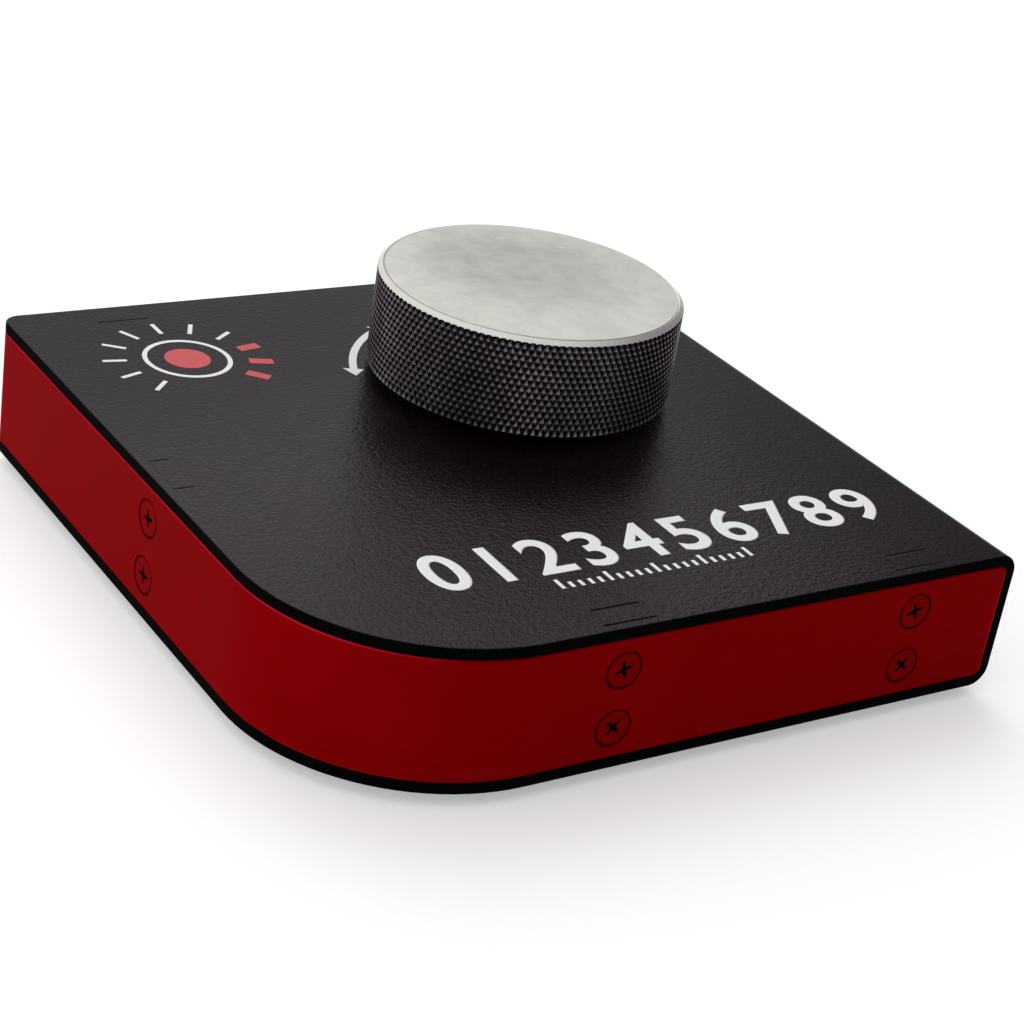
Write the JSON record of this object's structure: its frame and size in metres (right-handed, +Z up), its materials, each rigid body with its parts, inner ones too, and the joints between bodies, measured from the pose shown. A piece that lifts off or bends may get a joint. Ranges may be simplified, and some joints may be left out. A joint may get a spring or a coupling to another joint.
{
  "type": "synthesizer knob controller",
  "caption": "Thin square desk controller: a black folded-sheet case with one big rounded corner, a red side band and a large off-centre knurled knob that turns without end.",
  "frame": {"origin": "under the middle of the case in plan, on the table that the feet stand on", "axes": "+X to the right, towards the folded wall; +Y to the back, towards the cable socket; +Z up, along the knob's axis"},
  "size_m": [0.12, 0.12, 0.0437],
  "materials": {
    "case_powder_coat": "black fine-textured powder coat, satin",
    "band_paint": "red semi-gloss powder coat",
    "screw_paint": "red painted heads, black in the recess",
    "knob_metal": "bare turned top and chamfer, black anodised knurl",
    "black_steel": "black oxide",
    "shaft_steel": "ground",
    "zinc_steel": "zinc plated",
    "can_metal": "die cast, bead blasted",
    "brass": "turned",
    "post_metal": "black powder coat over steel",
    "washer_plastic": "natural acetal",
    "board_laminate": "green solder mask",
    "chip_plastic": "moulded epoxy",
    "connector_plastic": "natural nylon",
    "capacitor_body": "moulded block",
    "cable_jacket": "soft grey-black jacket",
    "foot_rubber": "moulded"
  },
  "bodies": {
    "base": {"board_cable_plug": "connector_plastic", "board_cable_socket": "connector_plastic", "board_screws": "zinc_steel", "capacitors": "capacitor_body", "case_wrap": "case_powder_coat", "controller_chip": "chip_plastic", "crystal": "can_metal", "encoder_board": "board_laminate", "encoder_board_screws": "zinc_steel", "encoder_bushing": "brass", "encoder_cable_plug": "connector_plastic", "encoder_cable_socket": "connector_plastic", "encoder_can": "can_metal", "encoder_nut": "zinc_steel", "encoder_sensor": "chip_plastic", "encoder_washer": "zinc_steel", "foot_back_left": "foot_rubber", "foot_back_right": "foot_rubber", "foot_front_left": "foot_rubber", "foot_front_right": "foot_rubber", "inner_cable": "cable_jacket", "main_board": "board_laminate", "post_back_left": "post_metal", "post_back_right": "post_metal", "post_front_left": "post_metal", "post_front_right": "post_metal", "post_left": "post_metal", "side_band": "band_paint", "side_screws": "screw_paint", "standoff_back_left": "zinc_steel", "standoff_back_right": "zinc_steel", "standoff_front_left": "zinc_steel", "standoff_front_right": "zinc_steel", "thrust_washer": "washer_plastic", "usb_shell": "shaft_steel", "usb_tongue": "chip_plastic", "voltage_regulator": "chip_plastic"},
    "dial": {"knob": "knob_metal", "knob_grub_screw": "black_steel", "encoder_shaft": "shaft_steel", "shaft_clip": "shaft_steel", "code_wheel_hub": "brass", "code_wheel": "shaft_steel"}
  },
  "joints": [
    {"name": "knob_turn", "type": "hinge", "parent": "base", "child": "dial", "pos_m": [0.0148, 0.017, 0.0349], "axis": [0, 0, 1], "continuous": true}
  ]
}
